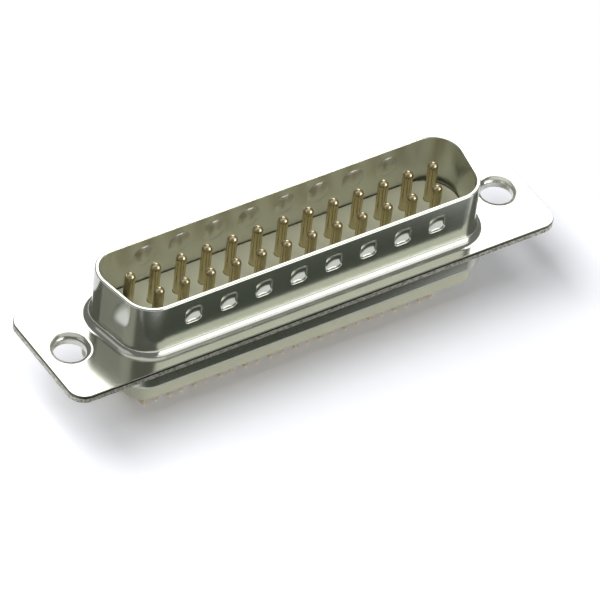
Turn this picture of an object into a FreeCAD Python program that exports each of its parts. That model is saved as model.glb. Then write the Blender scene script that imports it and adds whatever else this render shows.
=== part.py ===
import FreeCAD, Part
import math
import os

from FreeCAD import Vector

# 25-way D-sub plug with solder cups. The frame's origin is the centre of the flange's front face,
# midway between the two fixing holes. +Z points to the mating side, +X along the connector,
# and +Y to the wide side of the D, which has the longer row of contacts. Millimetres.

# Contact layout
contact_pitch = 2.77
row_spacing = 2.84
wide_row_count = 13

# Sheet of both shells
sheet = 0.4

# Collar of the front shell: margins run from the outer contact axes to the collar's inside,
# at the ends along the line halfway between the long walls
collar_end_margin = 2.6215
collar_side_margin = 2.76
collar_inner_corner = 2.6
collar_height = 5.84
collar_base_round = 0.88
collar_rim_round = 0.12
end_slant = 10.0

# Flange of both shells, and its fixing holes
hole_from_collar = 3.64
flange_past_hole = 3.0
flange_past_collar = 1.695
flange_corner = 1.6
flange_edge_round = 0.08

# Eyelets: the front sheet is drawn through the rear one and rolled over behind it
hole_radius = 1.525
hole_lip_width = 0.6
hole_lip_depth = 0.45
eyelet_wall = 0.28
eyelet_roll_width = 0.6
eyelet_edge_round = 0.14
eyelet_clearance = 0.03

# Dimples, pressed into both long walls of the collar: a pocket outside, and a softer bump inside
dimple_pitch = 3.81
dimple_below_rim = 2.05
dimple_width = 1.8
dimple_length = 1.9
dimple_depth = 0.4
dimple_slope = 0.4
dimple_corner = 0.5
dimple_crown = 2.1
dimple_mouth_round = 0.08
dimple_floor_round = 0.15
bump_spread = 0.22
bump_height = 0.26
bump_slope = 1.0
bump_crown = 3.0
bump_top_round = 0.3
bump_foot_round = 0.25

# Skirt of the rear shell, which holds the insulators
skirt_past_collar_end = 0.6
skirt_past_collar_side = 0.78
skirt_corner = 2.8
skirt_depth = 3.56
skirt_base_round = 0.5
skirt_edge_round = 0.6

# Insulators
nose_height = 0.7
nose_clearance = 0.03
nose_corner = 3.3
nose_edge_round = 0.15
split_depth = 1.8
seat_clearance = 0.05
block_ledge = 0.31
block_depth = 5.45
block_edge_round = 0.3

# Contacts
pin_radius = 0.51
pin_height = 5.3
pin_tip_length = 0.6
shoulder_radius = 1.12
shoulder_length = 0.8
cup_radius = 0.92
cup_bore_radius = 0.68
cup_bore_length = 3.3
cup_bore_cone = 0.35
cup_end_depth = 8.95
cup_open_length = 2.5
cup_open_slope = 0.75
cup_open_offset = 0.5
contact_clearance = 0.03

# Sizes that follow
slant = math.radians(end_slant)
row_length = (wide_row_count - 1) * contact_pitch
eyelet_radius = hole_radius + eyelet_wall
rear_face = -2 * sheet
ledge_z = sheet - skirt_depth
dimple_height = collar_height - dimple_below_rim


class Outline:
    """D shape: two parallel sides, joined by slanted ends that narrow towards -Y.

    reach is half its length on the line y = 0, and half_width half the distance between its sides.
    """

    def __init__(self, reach, half_width, corner):
        self.reach = reach
        self.half_width = half_width
        self.corner = corner
        self.centre_y = half_width - corner
        self.wide_x = self.centre_x(self.centre_y)
        self.narrow_x = self.centre_x(-self.centre_y)
        self.half_length = self.wide_x + corner

    def centre_x(self, y):
        """Where a corner arc at height y touches the slanted end."""
        return self.reach + y * math.tan(slant) - self.corner / math.cos(slant)

    def grown(self, distance, corner=None):
        """Every side moved outwards by the same distance."""
        new_corner = self.corner + distance if corner is None else corner
        return Outline(self.reach + distance / math.cos(slant), self.half_width + distance, new_corner)

    def face(self, z):
        quarter = math.pi / 2
        corners = (
            (self.wide_x, self.centre_y, -slant, quarter),
            (-self.wide_x, self.centre_y, quarter, math.pi + slant),
            (-self.narrow_x, -self.centre_y, math.pi + slant, 3 * quarter),
            (self.narrow_x, -self.centre_y, 3 * quarter, 4 * quarter - slant),
        )
        arcs = []
        for x, y, start, end in corners:
            points = []
            for angle in (start, (start + end) / 2, end):
                points.append(Vector(x + self.corner * math.cos(angle), y + self.corner * math.sin(angle), z))
            arcs.append(Part.Arc(*points))
        return Part.Face(ring_of_arcs(arcs))

    def prism(self, bottom, top):
        return self.face(bottom).extrude(Vector(0, 0, top - bottom))


def ring_of_arcs(arcs):
    """Joins arcs into a closed wire, with a straight line from each one to the next."""
    edges = []
    for index, arc in enumerate(arcs):
        following = arcs[(index + 1) % len(arcs)]
        edges.append(arc.toShape())
        edges.append(Part.LineSegment(arc.EndPoint, following.StartPoint).toShape())
    return Part.Wire(edges)


def rounded_wire(length, width, corner):
    """Rounded rectangle about the origin, in the XY plane."""
    x = length / 2 - corner
    y = width / 2 - corner
    arcs = []
    for index, (centre_x, centre_y) in enumerate(((x, y), (-x, y), (-x, -y), (x, -y))):
        points = []
        for step in range(3):
            angle = math.radians(90 * index + 45 * step)
            points.append(Vector(centre_x + corner * math.cos(angle), centre_y + corner * math.sin(angle), 0))
        arcs.append(Part.Arc(*points))
    return ring_of_arcs(arcs)


collar_inside = Outline(
    row_length / 2 + collar_end_margin,
    row_spacing / 2 + collar_side_margin,
    collar_inner_corner,
)
collar_outside = collar_inside.grown(sheet)
skirt_outside = Outline(
    collar_outside.reach + skirt_past_collar_end,
    collar_outside.half_width + skirt_past_collar_side,
    skirt_corner,
)
skirt_inside = skirt_outside.grown(-sheet)
nose_outline = collar_inside.grown(-nose_clearance, nose_corner)
seat_outline = skirt_inside.grown(-seat_clearance)
block_outline = skirt_inside.grown(-block_ledge)
hole_x = collar_outside.half_length + hole_from_collar
flange_length = 2 * (hole_x + flange_past_hole)
flange_width = 2 * (collar_outside.half_width + flange_past_collar)


def flange_plate(top, outer_face):
    """Flange of one shell, whose outline is rounded over on its outer face."""
    plate = Part.Face(rounded_wire(flange_length, flange_width, flange_corner)).extrude(Vector(0, 0, -sheet))
    plate.translate(Vector(0, 0, top))
    outline = []
    for edge in plate.Edges:
        if abs(edge.BoundBox.ZMin - outer_face) < 1e-4 and abs(edge.BoundBox.ZMax - outer_face) < 1e-4:
            outline.append(edge)
    return plate.makeFillet(flange_edge_round, outline)


def cylinder(radius, x, y, bottom, top):
    return Part.makeCylinder(radius, top - bottom, Vector(x, y, bottom))


def edges_at(shape, z, outline):
    """Edges that lie at one height, within an outline."""
    tolerance = 1e-4
    found = []
    for edge in shape.Edges:
        box = edge.BoundBox
        level = abs(box.ZMin - z) < tolerance and abs(box.ZMax - z) < tolerance
        inside_x = max(abs(box.XMin), abs(box.XMax)) < outline.half_length + tolerance
        inside_y = max(abs(box.YMin), abs(box.YMax)) < outline.half_width + tolerance
        if level and inside_x and inside_y and edge.Length > tolerance:
            found.append(edge)
    return found


def revolve(edges, x, y):
    """Solid of revolution about a vertical axis, from a closed profile of radius and height."""
    solid = Part.Face(Part.Wire(edges)).revolve(Vector(0, 0, 0), Vector(0, 0, 1), 360)
    solid.translate(Vector(x, y, 0))
    return solid


def profile_point(radius, z):
    return Vector(radius, 0, z)


def profile_line(start, end):
    return Part.LineSegment(profile_point(*start), profile_point(*end)).toShape()


def profile_arc(start, centre, end):
    """Quarter arc in the profile plane, bulging away from its centre."""
    radius = math.hypot(start[0] - centre[0], start[1] - centre[1])
    lean_r = (start[0] + end[0]) / 2 - centre[0]
    lean_z = (start[1] + end[1]) / 2 - centre[1]
    reach = radius / math.hypot(lean_r, lean_z)
    middle = (centre[0] + lean_r * reach, centre[1] + lean_z * reach)
    return Part.Arc(profile_point(*start), profile_point(*middle), profile_point(*end)).toShape()


def profile_bend(start, corner, end):
    """Quarter of an ellipse in the profile plane, which touches both sides of a corner."""
    curve = Part.BezierCurve()
    curve.setPoles([profile_point(*start), profile_point(*corner), profile_point(*end)])
    curve.setWeight(2, math.sqrt(0.5))
    return curve.toShape()


def eyelet(x):
    """Drawn through the rear flange, with a round mouth in front and a flat roll behind."""
    mouth = (hole_radius + hole_lip_width, 0)
    throat = (hole_radius, -hole_lip_depth)
    tail = (hole_radius, rear_face)
    roll_inner = (eyelet_radius, rear_face - eyelet_wall)
    roll_radius = eyelet_radius + eyelet_roll_width
    roll_lower = (roll_radius - eyelet_edge_round, rear_face - eyelet_wall)
    roll_outer = (roll_radius, rear_face - eyelet_edge_round)
    roll_upper = (roll_radius, rear_face)
    neck_lower = (eyelet_radius, rear_face)
    neck_upper = (eyelet_radius, -sheet)
    root = (mouth[0], -sheet)
    edges = [
        profile_bend(mouth, (hole_radius, 0), throat),
        profile_line(throat, tail),
        profile_arc(tail, (eyelet_radius, rear_face), roll_inner),
        profile_line(roll_inner, roll_lower),
        profile_arc(roll_lower, (roll_lower[0], roll_outer[1]), roll_outer),
        profile_line(roll_outer, roll_upper),
        profile_line(roll_upper, neck_lower),
        profile_line(neck_lower, neck_upper),
        profile_line(neck_upper, root),
        profile_line(root, mouth),
    ]
    return revolve(edges, x, 0)


def crowned_pad(width, length, corner, height, slope, crown, edge_round):
    """Pad that stands on the XY plane, with sloping sides and a domed top that meets them in a round.

    crown is the radius of the dome.
    """
    lead = sheet / 4
    spread = slope * lead
    narrowing = slope * height
    foot = rounded_wire(width + 2 * spread, length + 2 * spread, corner + spread)
    top = rounded_wire(width - 2 * narrowing, length - 2 * narrowing, corner - narrowing)
    foot.translate(Vector(0, 0, -lead))
    top.translate(Vector(0, 0, height))
    dome = Part.makeSphere(crown)
    dome.rotate(Vector(0, 0, 0), Vector(0, 1, 0), 90)
    dome.translate(Vector(0, 0, height - crown))
    pad = Part.makeLoft([foot, top], True, True).common(dome)
    dome_edges = []
    for face in pad.Faces:
        if isinstance(face.Surface, Part.Sphere):
            dome_edges.extend(face.Edges)
    return pad.makeFillet(edge_round, dome_edges)


def on_wall(pad, x, wall_y, side):
    """Stands a pad on a long wall of the collar, so that it reaches inwards."""
    pad.rotate(Vector(0, 0, 0), Vector(1, 0, 0), 90 * side)
    pad.translate(Vector(x, side * wall_y, dimple_height))
    return pad


def edges_on_wall(shape, x, wall_y, side):
    """Edges that lie in one face of a long wall, around one dimple."""
    tolerance = 1e-4
    found = []
    for edge in shape.Edges:
        box = edge.BoundBox
        level = abs(box.YMin - side * wall_y) < tolerance and abs(box.YMax - side * wall_y) < tolerance
        near_x = abs(box.Center.x - x) < dimple_pitch / 2 and box.XLength < dimple_pitch
        near_z = abs(box.Center.z - dimple_height) < dimple_length
        if level and near_x and near_z and edge.Length > tolerance:
            found.append(edge)
    return found


def add_dimple(shell, x, side):
    """Presses one dimple: a pocket in the outer face, and a lower and wider bump on the inner one."""
    inner_y = collar_inside.half_width
    outer_y = collar_outside.half_width
    bump = crowned_pad(
        dimple_width + 2 * bump_spread,
        dimple_length + 2 * bump_spread,
        dimple_corner + bump_spread,
        bump_height,
        bump_slope,
        bump_crown,
        bump_top_round,
    )
    pocket = crowned_pad(
        dimple_width,
        dimple_length,
        dimple_corner,
        dimple_depth,
        dimple_slope,
        dimple_crown,
        dimple_floor_round,
    )
    shell = shell.fuse(on_wall(bump, x, inner_y, side))
    shell = shell.cut(on_wall(pocket, x, outer_y, side))
    shell = shell.makeFillet(bump_foot_round, edges_on_wall(shell, x, inner_y, side))
    return shell.makeFillet(dimple_mouth_round, edges_on_wall(shell, x, outer_y, side))


def dimple_centres():
    """As many dimples as the straight run of the narrow wall takes."""
    count = int(2 * collar_outside.narrow_x / dimple_pitch)
    return [(index - (count - 1) / 2) * dimple_pitch for index in range(count)]


def front_shell():
    shell = flange_plate(0, 0).fuse(collar_outside.prism(-sheet, collar_height)).removeSplitter()
    shell = shell.makeFillet(collar_base_round, edges_at(shell, 0, collar_outside))
    shell = shell.cut(collar_inside.prism(-2 * sheet, collar_height + sheet))
    shell = shell.makeFillet(collar_base_round + sheet, edges_at(shell, -sheet, collar_inside))
    shell = shell.makeFillet(collar_rim_round, edges_at(shell, collar_height, collar_outside))
    for side in (-1, 1):
        for x in dimple_centres():
            shell = add_dimple(shell, x, side)
    for x in (-hole_x, hole_x):
        shell = shell.cut(cylinder(hole_radius + hole_lip_width, x, 0, -2 * sheet, sheet))
        shell = shell.fuse(eyelet(x))
    return shell.removeSplitter()


def rear_shell():
    shell = flange_plate(-sheet, rear_face).fuse(skirt_outside.prism(-skirt_depth, -sheet)).removeSplitter()
    shell = shell.makeFillet(skirt_base_round, edges_at(shell, rear_face, skirt_outside))
    shell = shell.makeFillet(skirt_edge_round, edges_at(shell, -skirt_depth, skirt_outside))
    shell = shell.cut(skirt_inside.prism(ledge_z, 0))
    shell = shell.makeFillet(skirt_base_round + sheet, edges_at(shell, -sheet, skirt_inside))
    shell = shell.cut(block_outline.grown(seat_clearance).prism(-skirt_depth - sheet, 0))
    for x in (-hole_x, hole_x):
        shell = shell.cut(cylinder(eyelet_radius + eyelet_clearance, x, 0, -skirt_depth, 0))
    return shell


def contact_places():
    """Axes of the contacts: the longer row on the wide side first, then the shorter row."""
    places = []
    for side, count in ((1, wide_row_count), (-1, wide_row_count - 1)):
        for index in range(count):
            x = (index - (count - 1) / 2) * contact_pitch
            places.append((x, side * row_spacing / 2, side))
    return places


def with_contact_holes(block, radius, bottom, top):
    for x, y, _ in contact_places():
        block = block.cut(cylinder(radius, x, y, bottom, top))
    return block


def front_insulator():
    nose = nose_outline.prism(-split_depth, nose_height)
    nose = nose.makeFillet(nose_edge_round, edges_at(nose, nose_height, nose_outline))
    block = seat_outline.prism(-split_depth, -sheet - seat_clearance).fuse(nose).removeSplitter()
    block = with_contact_holes(block, pin_radius + contact_clearance, -split_depth, nose_height)
    counterbore_top = -split_depth + shoulder_length + contact_clearance
    return with_contact_holes(block, shoulder_radius + contact_clearance, -split_depth, counterbore_top)


def rear_insulator():
    block = block_outline.prism(-block_depth, -split_depth)
    block = block.makeFillet(block_edge_round, edges_at(block, -block_depth, block_outline))
    block = block.fuse(seat_outline.prism(ledge_z, -split_depth)).removeSplitter()
    return with_contact_holes(block, cup_radius + contact_clearance, -block_depth, -split_depth)


def contact(x, y, side):
    """Turned in one piece: bullet-nosed pin, retaining shoulder, and a bored cup that opens outwards."""
    tip = Vector(0, 0, pin_height)
    tip_base = Vector(pin_radius, 0, pin_height - pin_tip_length)
    tip_middle = Vector(pin_radius * math.sqrt(0.5), 0, tip_base.z + pin_tip_length * math.sqrt(0.5))
    shoulder_top = -split_depth + shoulder_length
    bore_top = -cup_end_depth + cup_bore_length
    outline = (
        (pin_radius, tip_base.z),
        (pin_radius, shoulder_top),
        (shoulder_radius, shoulder_top),
        (shoulder_radius, -split_depth),
        (cup_radius, -split_depth),
        (cup_radius, -cup_end_depth),
        (cup_bore_radius, -cup_end_depth),
        (cup_bore_radius, bore_top - cup_bore_cone),
        (0, bore_top),
        (0, pin_height),
    )
    edges = [Part.Arc(tip, tip_middle, tip_base).toShape()]
    for start, end in zip(outline, outline[1:]):
        edges.append(profile_line(start, end))
    return revolve(edges, x, y).cut(cup_opening(x, y, side))


def cup_opening(x, y, side):
    """Wedge that takes the outer half of the cup's wall away, sloping out at its top."""
    far = 2 * cup_radius
    low = -cup_end_depth - sheet
    top = -cup_end_depth + cup_open_length
    slope_top = top + cup_open_slope * (far - cup_open_offset) / cup_radius
    corners = (
        (cup_open_offset, low),
        (cup_open_offset, top),
        (far, slope_top),
        (far, low),
    )
    points = [Vector(-far, side * across, z) for across, z in corners]
    points.append(points[0])
    wedge = Part.Face(Part.makePolygon(points)).extrude(Vector(2 * far, 0, 0))
    wedge.translate(Vector(x, y, 0))
    return wedge


def main():
    os.makedirs("parts", exist_ok=True)
    pieces = {
        "front_shell": front_shell(),
        "rear_shell": rear_shell(),
        "front_insulator": front_insulator(),
        "rear_insulator": rear_insulator(),
    }
    for number, (x, y, side) in enumerate(contact_places(), start=1):
        pieces["contact_%02d" % number] = contact(x, y, side)
    for name, shape in pieces.items():
        shape.exportStep("parts/%s.step" % name)
        print(name, len(shape.Solids), shape.isValid(), round(shape.Volume, 3))


main()
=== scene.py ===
import math

import bpy
from mathutils import Matrix, Vector


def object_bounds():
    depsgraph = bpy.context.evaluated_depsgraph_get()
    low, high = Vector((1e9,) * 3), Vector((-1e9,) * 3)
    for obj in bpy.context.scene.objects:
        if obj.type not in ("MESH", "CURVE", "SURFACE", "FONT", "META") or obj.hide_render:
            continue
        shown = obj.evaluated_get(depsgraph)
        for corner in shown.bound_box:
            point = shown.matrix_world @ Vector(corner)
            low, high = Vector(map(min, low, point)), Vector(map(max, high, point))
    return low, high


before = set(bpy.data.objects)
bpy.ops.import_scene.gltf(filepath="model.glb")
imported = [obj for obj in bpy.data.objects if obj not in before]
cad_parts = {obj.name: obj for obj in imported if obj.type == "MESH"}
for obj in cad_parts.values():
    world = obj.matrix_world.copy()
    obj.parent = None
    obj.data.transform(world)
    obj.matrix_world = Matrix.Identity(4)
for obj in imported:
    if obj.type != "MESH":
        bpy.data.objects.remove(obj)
cad_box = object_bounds()

# The view
# The plug stands on its solder cups with the mating face up, and is seen from its narrow side, well above
# and to the left, with a long lens. The angles, the roll and the distance come from the pins, the flange
# and the rim in a picture of 600 by 600 pixels.
millimetre = 0.001
view_azimuth = math.radians(-37.218)
view_elevation = math.radians(43.195)
view_roll = math.radians(7.081)
view_distance = 688.07 * millimetre
aim_right = 1.233 * millimetre
aim_up = -2.961 * millimetre
focal_length_in_pixels = 7415.65
picture_width_in_pixels = 600

turn = Matrix.Rotation(view_azimuth, 3, "Z") @ Matrix.Rotation(math.pi / 2 - view_elevation, 3, "X")
turn = turn @ Matrix.Rotation(view_roll, 3, "Z")
camera_data = bpy.data.cameras.new("camera")
camera_data.sensor_width = 36
camera_data.lens = focal_length_in_pixels * camera_data.sensor_width / picture_width_in_pixels
camera_data.clip_start = 0.01
camera_data.clip_end = 10
camera = bpy.data.objects.new("camera", camera_data)
camera.matrix_world = Matrix.Translation(turn @ Vector((aim_right, aim_up, view_distance))) @ turn.to_4x4()
bpy.context.scene.collection.objects.link(camera)
bpy.context.scene.camera = camera
bpy.context.scene.view_settings.view_transform = "Standard"

# The two shells
# Each is one sheet of mild steel, drawn to its D and pierced, then barrel plated with bright tin.
# The front one is drawn through the holes of the rear one and rolled over behind, which holds them both.
flange_half_length = 26.52 * millimetre
flange_half_width = 6.275 * millimetre
flange_corner = 1.6 * millimetre
collar_half_length = 19.5 * millimetre
collar_half_width = 4.4 * millimetre
noise_low = 0.3  # nearly all the values of a noise lie between these two
noise_high = 0.7


def linear(hex_colour):
    """Linear RGBA from an sRGB hex colour such as #c8c6bc."""
    channels = []
    for place in (1, 3, 5):
        value = int(hex_colour[place:place + 2], 16) / 255
        channels.append(value / 12.92 if value <= 0.04045 else ((value + 0.055) / 1.055) ** 2.4)
    return (*channels, 1.0)


def add_node(material, kind, inputs=None, **settings):
    """Adds a node with its settings, and sets or links its inputs by name or place.

    The places of a mix are 0 for the share, 2 and 3 for two numbers, and 6 and 7 for two colours. Its outputs
    are 0 for the number and 2 for the colour.
    """
    made = material.node_tree.nodes.new(kind)
    for name, value in settings.items():
        setattr(made, name, value)
    for name, value in (inputs or {}).items():
        if isinstance(value, bpy.types.NodeSocket):
            material.node_tree.links.new(value, made.inputs[name])
        else:
            made.inputs[name].default_value = value
    return made


def empty_material(name):
    """Material without any node yet."""
    made = bpy.data.materials.new(name)
    made.use_nodes = True
    made.node_tree.nodes.clear()
    return made


def dress(node_name, material):
    """Puts a material in every slot of one piece."""
    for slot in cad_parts[node_name].material_slots:
        slot.material = material


def bright_tin_plate():
    """Bright tin on drawn steel: a near mirror, faintly grey-green, with soft waves from the drawing.

    The punch has rubbed the inside of the collar duller, and it is painted paler there as painted light.
    The die leaves the upper part of the front sheet's sheared edge smooth; its dark colour is a painted
    dark reflection. All below it is torn into fine grains, drawn as coarse as they need to be to show;
    their pale specks are partly painted glints.
    """
    wave_size = 3.0 * millimetre
    grain_size = 0.25 * millimetre
    tear_size = 0.2 * millimetre
    relief_height = 0.02 * millimetre
    edge_band = 0.06 * millimetre
    burnished_down_to = 0.24 * millimetre
    torn_down_from = 0.3 * millimetre
    rubbed_roughness = 0.33
    burnished_roughness = 0.22
    torn_roughness = 0.48
    metal = empty_material("bright tin plate")
    place = add_node(metal, "ShaderNodeTexCoord").outputs["Object"]
    wave = add_node(metal, "ShaderNodeTexNoise", {"Vector": place, "Scale": 1 / wave_size, "Detail": 2.0})
    grain = add_node(metal, "ShaderNodeTexNoise", {"Vector": place, "Scale": 1 / grain_size, "Detail": 4.0})
    tone = add_node(metal, "ShaderNodeMix", {
        0: wave.outputs["Fac"],
        6: linear("#bbbdb1"),
        7: linear("#c7c9be"),
    }, data_type="RGBA").outputs[2]

    # The sheared edge: the outermost band of the flange's rounded rectangle.
    away = add_node(metal, "ShaderNodeVectorMath", {0: place}, operation="ABSOLUTE").outputs[0]
    core = (flange_half_length - flange_corner, flange_half_width - flange_corner, 1.0)
    past_core = add_node(metal, "ShaderNodeVectorMath", {0: away, 1: core}, operation="SUBTRACT").outputs[0]
    past_core = add_node(metal, "ShaderNodeVectorMath", {
        0: past_core,
        1: (0, 0, 0),
    }, operation="MAXIMUM").outputs[0]
    past_corner = add_node(metal, "ShaderNodeVectorMath", {0: past_core}, operation="LENGTH").outputs["Value"]
    edge = add_node(metal, "ShaderNodeMath", {
        0: past_corner,
        1: flange_corner - edge_band,
    }, operation="GREATER_THAN").outputs[0]

    height = add_node(metal, "ShaderNodeSeparateXYZ", {0: place}).outputs["Z"]
    torn = add_node(metal, "ShaderNodeMapRange", {
        "Value": height,
        "From Min": -burnished_down_to,
        "From Max": -torn_down_from,
    }).outputs["Result"]
    tears = add_node(metal, "ShaderNodeTexNoise", {"Vector": place, "Scale": 1 / tear_size, "Detail": 1.0})
    tear = add_node(metal, "ShaderNodeMapRange", {
        "Value": tears.outputs["Fac"],
        "From Min": 0.35,
        "From Max": 0.65,
    }).outputs["Result"]
    # Painted glints: the pale specks of the torn band stand partly for light caught on its grains.
    torn_grain_and_glint_tone = add_node(metal, "ShaderNodeMix", {
        0: tear,
        6: linear("#86847a"),
        7: linear("#cfccbf"),
    }, data_type="RGBA").outputs[2]
    # Painted reflection: the burnished band's dark colour stands in for the dark it mirrors.
    edge_grain_and_painted_reflection = add_node(metal, "ShaderNodeMix", {
        0: torn,
        6: linear("#5d5f54"),
        7: torn_grain_and_glint_tone,
    }, data_type="RGBA").outputs[2]

    polish = add_node(metal, "ShaderNodeMapRange", {
        "Value": grain.outputs["Fac"],
        "From Min": noise_low,
        "From Max": noise_high,
        "To Min": 0.15,
        "To Max": 0.18,
    }).outputs["Result"]
    # The inside of the collar: where the metal faces back to the middle of the D.
    facing = add_node(metal, "ShaderNodeNewGeometry").outputs["Normal"]
    outwards = add_node(metal, "ShaderNodeVectorMath", {
        0: place,
        1: (1 / collar_half_length, 1 / collar_half_width, 0),
    }, operation="MULTIPLY").outputs[0]
    outwards = add_node(metal, "ShaderNodeVectorMath", {
        0: outwards,
        1: facing,
    }, operation="DOT_PRODUCT").outputs["Value"]
    inside = add_node(metal, "ShaderNodeMapRange", {
        "Value": outwards,
        "From Min": -0.2,
        "From Max": -0.5,
    }).outputs["Result"]
    # Painted light: the inside of the collar is paler than the rest of the tin.
    tone = add_node(metal, "ShaderNodeMix", {
        0: inside,
        6: tone,
        7: linear("#e2e3d9"),
    }, data_type="RGBA").outputs[2]
    colour = add_node(metal, "ShaderNodeMix", {0: edge, 6: tone, 7: edge_grain_and_painted_reflection}, data_type="RGBA").outputs[2]
    polish = add_node(metal, "ShaderNodeMix", {0: inside, 2: polish, 3: rubbed_roughness}).outputs[0]
    edge_roughness = add_node(metal, "ShaderNodeMix", {
        0: torn,
        2: burnished_roughness,
        3: torn_roughness,
    }).outputs[0]
    roughness = add_node(metal, "ShaderNodeMix", {0: edge, 2: polish, 3: edge_roughness}).outputs[0]
    relief = add_node(metal, "ShaderNodeMix", {
        0: edge,
        2: grain.outputs["Fac"],
        3: tears.outputs["Fac"],
    }).outputs[0]
    bump = add_node(metal, "ShaderNodeBump", {"Height": relief, "Strength": 0.006, "Distance": relief_height})
    shader = add_node(metal, "ShaderNodeBsdfPrincipled", {
        "Base Color": colour,
        "Metallic": 1.0,
        "Roughness": roughness,
        "Normal": bump.outputs["Normal"],
    })
    add_node(metal, "ShaderNodeOutputMaterial", {"Surface": shader.outputs[0]})
    return metal


tin_plate = bright_tin_plate()
dress("front_shell", tin_plate)
dress("rear_shell", tin_plate)


# The two insulators
# Cream polyester filled with short glass, moulded in two halves that trap the contacts between them.
# The filling gives the skin a faint mottle and takes its gloss down.
def glass_filled_polyester():
    """Moulded thermoplastic polyester: cream, half matt, with cloudy flow marks and a fibre-fine grain."""
    cloud_size = 1.8 * millimetre
    fibre_size = 0.12 * millimetre
    relief_height = 0.01 * millimetre
    plastic = empty_material("glass filled polyester")
    place = add_node(plastic, "ShaderNodeTexCoord").outputs["Object"]
    cloud = add_node(plastic, "ShaderNodeTexNoise", {"Vector": place, "Scale": 1 / cloud_size, "Detail": 3.0})
    fibre = add_node(plastic, "ShaderNodeTexNoise", {"Vector": place, "Scale": 1 / fibre_size, "Detail": 3.0})
    colour = add_node(plastic, "ShaderNodeMix", {
        0: cloud.outputs["Fac"],
        6: linear("#a4a58d"),
        7: linear("#afaf99"),
    }, data_type="RGBA").outputs[2]
    roughness = add_node(plastic, "ShaderNodeMapRange", {
        "Value": fibre.outputs["Fac"],
        "From Min": noise_low,
        "From Max": noise_high,
        "To Min": 0.38,
        "To Max": 0.52,
    }).outputs["Result"]
    bump = add_node(plastic, "ShaderNodeBump", {
        "Height": fibre.outputs["Fac"],
        "Strength": 0.15,
        "Distance": relief_height,
    })
    shader = add_node(plastic, "ShaderNodeBsdfPrincipled", {
        "Base Color": colour,
        "Roughness": roughness,
        "IOR": 1.55,
        "Normal": bump.outputs["Normal"],
    })
    add_node(plastic, "ShaderNodeOutputMaterial", {"Surface": shader.outputs[0]})
    return plastic


polyester = glass_filled_polyester()
dress("front_insulator", polyester)
dress("rear_insulator", polyester)


# The contacts
# Twenty-five brass pins, each turned in one piece with its shoulder and its bored solder cup, and flashed
# with a thin layer of gold. They are held by their shoulders between the two insulators.
def gold_flash_on_brass():
    """Thin gold over turned brass: pale gold that greys where the layer is thin, with fine turning rings.

    The solder cups are paler and duller below a set height.
    """
    ring_size = 0.08 * millimetre
    stain_size = 0.9 * millimetre
    relief_height = 0.01 * millimetre
    pale_cup_line = 5.2 * millimetre
    pale_cup_fade = 0.3 * millimetre
    pale_cup_roughness = 0.42
    gold = empty_material("gold flash on turned brass")
    place = add_node(gold, "ShaderNodeTexCoord").outputs["Object"]
    ring_scale = (1.0, 1.0, 1 / ring_size)
    ring_place = add_node(gold, "ShaderNodeVectorMath", {
        0: place,
        1: ring_scale,
    }, operation="MULTIPLY").outputs[0]
    rings = add_node(gold, "ShaderNodeTexNoise", {"Vector": ring_place, "Scale": 1.0, "Detail": 3.0})
    stain = add_node(gold, "ShaderNodeTexNoise", {"Vector": place, "Scale": 1 / stain_size, "Detail": 3.0})
    gold_tone = add_node(gold, "ShaderNodeMix", {
        0: stain.outputs["Fac"],
        6: linear("#bfb08a"),
        7: linear("#d2c6a2"),
    }, data_type="RGBA").outputs[2]
    height = add_node(gold, "ShaderNodeSeparateXYZ", {0: place}).outputs["Z"]
    # The solder cups are paler and duller below this height.
    pale_cups = add_node(gold, "ShaderNodeMapRange", {
        "Value": height,
        "From Min": -pale_cup_line + pale_cup_fade,
        "From Max": -pale_cup_line - pale_cup_fade,
    }, interpolation_type="SMOOTHSTEP").outputs["Result"]
    pale_cup_tone = add_node(gold, "ShaderNodeMix", {
        0: stain.outputs["Fac"],
        6: linear("#e2d3b4"),
        7: linear("#efe7d2"),
    }, data_type="RGBA").outputs[2]
    colour = add_node(gold, "ShaderNodeMix", {
        0: pale_cups,
        6: gold_tone,
        7: pale_cup_tone,
    }, data_type="RGBA").outputs[2]
    polish = add_node(gold, "ShaderNodeMapRange", {
        "Value": stain.outputs["Fac"],
        "From Min": noise_low,
        "From Max": noise_high,
        "To Min": 0.18,
        "To Max": 0.26,
    }).outputs["Result"]
    roughness = add_node(gold, "ShaderNodeMix", {0: pale_cups, 2: polish, 3: pale_cup_roughness}).outputs[0]
    bump = add_node(gold, "ShaderNodeBump", {
        "Height": rings.outputs["Fac"],
        "Strength": 0.1,
        "Distance": relief_height,
    })
    shader = add_node(gold, "ShaderNodeBsdfPrincipled", {
        "Base Color": colour,
        "Metallic": 1.0,
        "Roughness": roughness,
        "Normal": bump.outputs["Normal"],
    })
    add_node(gold, "ShaderNodeOutputMaterial", {"Surface": shader.outputs[0]})
    return gold


gold_flash = gold_flash_on_brass()
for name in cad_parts:
    if name.startswith("contact_"):
        dress(name, gold_flash)


# The table
# A plain white sheet that the plug stands on. Seen straight or mirrored in the metal it is white,
# and it keeps the plug's shadow.
def white_sheet():
    """White matt sheet, with a faint glow only where it is seen or mirrored."""
    glow_strength = 0.15
    paper = empty_material("white studio sheet")
    path = add_node(paper, "ShaderNodeLightPath").outputs
    seen = add_node(paper, "ShaderNodeMath", {
        0: path["Is Camera Ray"],
        1: path["Is Glossy Ray"],
    }, operation="ADD")
    seen = add_node(paper, "ShaderNodeMath", {
        0: seen.outputs[0],
        1: path["Is Transmission Ray"],
    }, operation="ADD", use_clamp=True)
    glow = add_node(paper, "ShaderNodeMath", {0: seen.outputs[0], 1: glow_strength}, operation="MULTIPLY")
    matt = add_node(paper, "ShaderNodeBsdfDiffuse", {"Color": linear("#f5f6fc")})
    light = add_node(paper, "ShaderNodeEmission", {"Color": linear("#ffffff"), "Strength": glow.outputs[0]})
    both = add_node(paper, "ShaderNodeAddShader", {0: matt.outputs[0], 1: light.outputs[0]})
    add_node(paper, "ShaderNodeOutputMaterial", {"Surface": both.outputs[0]})
    return paper


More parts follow.
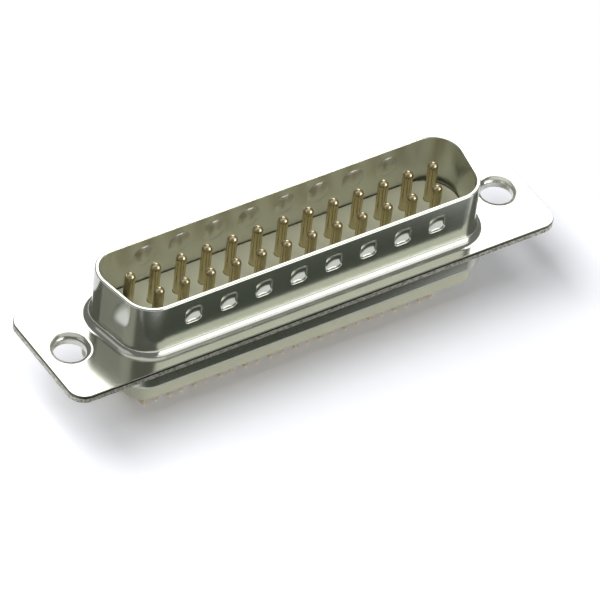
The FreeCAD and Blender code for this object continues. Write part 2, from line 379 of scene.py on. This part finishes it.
def card(name, low, high, height, material):
    """Level rectangle between two corners, which belongs to the studio and not to the plug."""
    corners = [(low[0], low[1]), (high[0], low[1]), (high[0], high[1]), (low[0], high[1])]
    mesh = bpy.data.meshes.new(name)
    mesh.from_pydata([(x, y, height) for x, y in corners], [], [(0, 1, 2, 3)])
    mesh.materials.append(material)
    made = bpy.data.objects.new(name, mesh)
    bpy.context.scene.collection.objects.link(made)
    return made


table_half = 0.6
table_height = cad_box[0][2]
table = card("table", (-table_half, -table_half), (table_half, table_half), table_height, white_sheet())

# The dark card
# An oval of dark card with soft edges, which lies in front of the plug just above the table and out of the
# camera's sight. It is painted shade, which the upright walls mirror as the plug's shadow close in front.
card_middle = (-3.0 * millimetre, -14.7 * millimetre)
card_half = (48.0 * millimetre, 8.5 * millimetre)
card_core = 0.5
card_lift = 0.2 * millimetre


def painted_shade_card():
    """Dark grey-green card, whole in its core and fading to nothing at the rim of its oval."""
    # Painted shade: a dark card seen only in the metal's reflections.
    board = empty_material("painted shade card")
    place = add_node(board, "ShaderNodeTexCoord").outputs["Object"]
    from_middle = add_node(board, "ShaderNodeVectorMath", {
        0: place,
        1: (*card_middle, table_height),
    }, operation="SUBTRACT").outputs[0]
    from_middle = add_node(board, "ShaderNodeVectorMath", {
        0: from_middle,
        1: (*card_half, 1.0),
    }, operation="DIVIDE").outputs[0]
    from_middle = add_node(board, "ShaderNodeVectorMath", {
        0: from_middle,
    }, operation="LENGTH").outputs["Value"]
    cover = add_node(board, "ShaderNodeMapRange", {
        "Value": from_middle,
        "From Min": 1.0,
        "From Max": card_core,
    }, interpolation_type="SMOOTHSTEP").outputs["Result"]
    clear = add_node(board, "ShaderNodeBsdfTransparent").outputs[0]
    matt = add_node(board, "ShaderNodeBsdfDiffuse", {"Color": linear("#464b44")}).outputs[0]
    both = add_node(board, "ShaderNodeMixShader", {0: cover, 1: clear, 2: matt})
    add_node(board, "ShaderNodeOutputMaterial", {"Surface": both.outputs[0]})
    return board


card_low = [middle - half for middle, half in zip(card_middle, card_half)]
card_high = [middle + half for middle, half in zip(card_middle, card_half)]
front_card = card("painted_shade_card", card_low, card_high, table_height + card_lift, painted_shade_card())
front_card.visible_camera = False
front_card.visible_diffuse = False
front_card.visible_shadow = False
front_card.visible_transmission = False

# The lamps
# A white room, and a broad main light high at the left, which leaves the plug's soft shadow close round it.
# Soft boxes for the metal stand around: one high behind, which the flange mirrors, two in front, which the
# foot of the collar mirrors, one at the left, and a dim one overhead.
room_strength = 0.24
room = bpy.data.worlds.new("room")
room.use_nodes = True
room.node_tree.nodes["Background"].inputs["Color"].default_value = linear("#ffffff")
room.node_tree.nodes["Background"].inputs["Strength"].default_value = room_strength
bpy.context.scene.world = room


def soft_box(name, towards, width, height, radiance, distance=0.45):
    """Rectangular lamp that faces the plug from a given direction, as bright as stated."""
    lamp = bpy.data.lights.new(name, "AREA")
    lamp.shape = "RECTANGLE"
    lamp.size = width
    lamp.size_y = height
    lamp.energy = radiance * math.pi * width * height
    made = bpy.data.objects.new(name, lamp)
    direction = Vector(towards).normalized()
    made.location = direction * distance
    made.rotation_euler = direction.to_track_quat("Z", "Y").to_euler()
    bpy.context.scene.collection.objects.link(made)
    return made


main_light = soft_box("main_light", (-0.42, 0.04, 0.9), 0.8, 0.4, 7.7, distance=0.9)
back_box = soft_box("back_soft_box", (0.44, 0.58, 0.68), 0.34, 0.26, 3.0)
low_box = soft_box("low_front_soft_box", (0.5, -0.82, 0.24), 0.34, 0.26, 3.5)
high_box = soft_box("high_front_soft_box", (0.42, -0.6, 0.69), 0.34, 0.16, 1.25)
left_box = soft_box("left_soft_box", (-0.71, 0.14, 0.69), 0.28, 0.24, 0.5)
overhead_box = soft_box("overhead_soft_box", (0.0, 0.0, 1.0), 0.4, 0.4, 0.6)
main_light.visible_glossy = False
back_box.visible_diffuse = False
overhead_box.visible_diffuse = False

# The boxes in front and at the left do not light the table, so that they leave the plug's shadow on it.
off_the_table = bpy.data.collections.new("off_the_table")
off_the_table.objects.link(table)
off_the_table.collection_objects[0].light_linking.link_state = "EXCLUDE"
for box in (low_box, high_box, left_box):
    box.light_linking.receiver_collection = off_the_table
